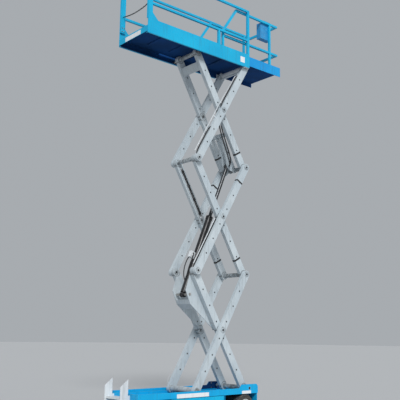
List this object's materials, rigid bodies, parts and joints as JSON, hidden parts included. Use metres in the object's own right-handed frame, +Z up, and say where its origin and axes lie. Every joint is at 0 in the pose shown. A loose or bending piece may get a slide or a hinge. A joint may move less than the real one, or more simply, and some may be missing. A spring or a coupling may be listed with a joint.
{
  "type": "scissor lift",
  "caption": "Self-propelled slab scissor lift with a raised three-level mast, a railed platform and its deck slid out.",
  "frame": {"origin": "on the floor, under the middle of the machine's overall length, on its centre plane", "axes": "+X forward towards the steered wheels, +Y to the machine's left, +Z up"},
  "size_m": [3.255, 0.81, 7.1199],
  "materials": {
    "blue_paint": "gloss enamel",
    "grey_paint": "satin enamel",
    "black_paint": "satin enamel",
    "rim_paint": "satin enamel",
    "steel": "turned",
    "chrome": "hard chrome",
    "tyre": "solid rubber",
    "battery": "moulded case",
    "box_plastic": "moulded"
  },
  "bodies": {
    "chassis": {"chassis_frame": "blue_paint", "mast_pivot_pins": "steel", "front_axle": "black_paint", "kingpins": "steel", "rear_axle": "black_paint", "pothole_guard_left": "blue_paint", "pothole_guard_right": "blue_paint", "rear_ladder": "grey_paint", "tray_hinges": "black_paint"},
    "inner_1": {"inner_arm_1": "grey_paint"},
    "outer_1": {"outer_arm_1": "grey_paint", "outer_arm_1_pins": "steel", "foot_rollers": "steel"},
    "outer_2": {"outer_arm_2": "grey_paint", "outer_arm_2_pins": "steel"},
    "inner_2": {"inner_arm_2": "grey_paint"},
    "outer_3": {"outer_arm_3": "grey_paint", "outer_arm_3_pins": "steel"},
    "inner_3": {"inner_arm_3": "grey_paint", "top_rollers": "steel"},
    "platform": {"platform_frame": "blue_paint", "rear_sill": "grey_paint", "platform_pivot_pins": "steel", "guard_rails_left": "blue_paint", "guard_rails_right": "blue_paint", "entry_chain": "black_paint"},
    "slide": {"slide_deck": "blue_paint", "slide_rails": "blue_paint", "control_box": "box_plastic"},
    "lift_barrel": {"lift_barrel": "black_paint", "lift_foot_pin": "steel"},
    "lift_rod": {"lift_rod": "chrome"},
    "yoke_left": {"yoke_left": "black_paint"},
    "yoke_right": {"yoke_right": "black_paint"},
    "tray_left": {"tray_left": "blue_paint", "batteries": "battery"},
    "tray_right": {"tray_right": "blue_paint", "power_unit": "battery"},
    "wheel_rear_left": {"tyre_rear_left": "tyre", "rim_rear_left": "rim_paint"},
    "wheel_rear_right": {"tyre_rear_right": "tyre", "rim_rear_right": "rim_paint"},
    "wheel_front_left": {"tyre_front_left": "tyre", "rim_front_left": "rim_paint"},
    "wheel_front_right": {"tyre_front_right": "tyre", "rim_front_right": "rim_paint"}
  },
  "joints": [
    {"name": "mast_lift", "type": "hinge", "parent": "chassis", "child": "inner_1", "pos_m": [0.7825, 0, 0.475], "axis": [0, 1, 0], "range_deg": [-56.3, 0]},
    {"name": "cross_1", "type": "hinge", "parent": "inner_1", "child": "outer_1", "pos_m": [0.24075, 0, 1.40582], "axis": [0, 1, 0], "range_deg": [0, 112.61]},
    {"name": "knuckle_12", "type": "hinge", "parent": "inner_1", "child": "outer_2", "pos_m": [-0.30101, 0, 2.33665], "axis": [0, 1, 0], "range_deg": [0, 112.61]},
    {"name": "cross_2", "type": "hinge", "parent": "outer_2", "child": "inner_2", "pos_m": [0.24075, 0, 3.26747], "axis": [0, 1, 0], "range_deg": [-112.61, 0]},
    {"name": "knuckle_23", "type": "hinge", "parent": "inner_2", "child": "outer_3", "pos_m": [-0.30101, 0, 4.1983], "axis": [0, 1, 0], "range_deg": [0, 112.61]},
    {"name": "cross_3", "type": "hinge", "parent": "outer_3", "child": "inner_3", "pos_m": [0.24075, 0, 5.12912], "axis": [0, 1, 0], "range_deg": [-112.61, 0]},
    {"name": "platform_pivot", "type": "hinge", "parent": "outer_3", "child": "platform", "pos_m": [0.7825, 0, 6.05994], "axis": [0, 1, 0], "range_deg": [-56.31, 0]},
    {"name": "lift_foot", "type": "hinge", "parent": "inner_1", "child": "lift_barrel", "pos_m": [-0.32657, 0, 1.96309], "axis": [0, 1, 0], "range_deg": [0, 114.93]},
    {"name": "lift_stroke", "type": "slide", "parent": "lift_barrel", "child": "lift_rod", "axis": [0.3865, 0, 0.9223], "range_m": [-0.73216, 0]},
    {"name": "wheel_rear_left", "type": "hinge", "parent": "chassis", "child": "wheel_rear_left", "pos_m": [-1.1675, 0.3415, 0.1905], "axis": [0, 1, 0], "continuous": true},
    {"name": "wheel_rear_right", "type": "hinge", "parent": "chassis", "child": "wheel_rear_right", "pos_m": [-1.1675, -0.3415, 0.1905], "axis": [0, 1, 0], "continuous": true},
    {"name": "wheel_front_left", "type": "hinge", "parent": "yoke_left", "child": "wheel_front_left", "pos_m": [0.6825, 0.3415, 0.1905], "axis": [0, 1, 0], "continuous": true},
    {"name": "wheel_front_right", "type": "hinge", "parent": "yoke_right", "child": "wheel_front_right", "pos_m": [0.6825, -0.3415, 0.1905], "axis": [0, 1, 0], "continuous": true},
    {"name": "steer_left", "type": "hinge", "parent": "chassis", "child": "yoke_left", "pos_m": [0.6825, 0.24, 0.1905], "axis": [0, 0, 1], "range_deg": [-70, 70]},
    {"name": "steer_right", "type": "hinge", "parent": "chassis", "child": "yoke_right", "pos_m": [0.6825, -0.24, 0.1905], "axis": [0, 0, 1], "range_deg": [-70.01, 70.01]},
    {"name": "deck_slide", "type": "slide", "parent": "platform", "child": "slide", "axis": [1, 0, 0], "range_m": [-0.8, 0.11]},
    {"name": "tray_left_hinge", "type": "hinge", "parent": "chassis", "child": "tray_left", "pos_m": [0.2325, 0.232, 0.26], "axis": [0, 0, -1], "range_deg": [0, 80]},
    {"name": "tray_right_hinge", "type": "hinge", "parent": "chassis", "child": "tray_right", "pos_m": [0.2325, -0.232, 0.26], "axis": [0, 0, 1], "range_deg": [0, 80]}
  ],
  "couplings": [
    {"joint": "cross_1", "follows": "mast_lift", "ratio": -2},
    {"joint": "knuckle_12", "follows": "mast_lift", "ratio": -2},
    {"joint": "cross_2", "follows": "mast_lift", "ratio": 2},
    {"joint": "knuckle_23", "follows": "mast_lift", "ratio": -2},
    {"joint": "cross_3", "follows": "mast_lift", "ratio": 2},
    {"joint": "platform_pivot", "follows": "mast_lift", "ratio": 1},
    {"joint": "lift_foot", "follows": "mast_lift", "ratio": -2.0412},
    {"joint": "lift_stroke", "follows": "mast_lift", "m_per_rad": 0.7446},
    {"joint": "steer_right", "follows": "steer_left", "ratio": 1}
  ]
}
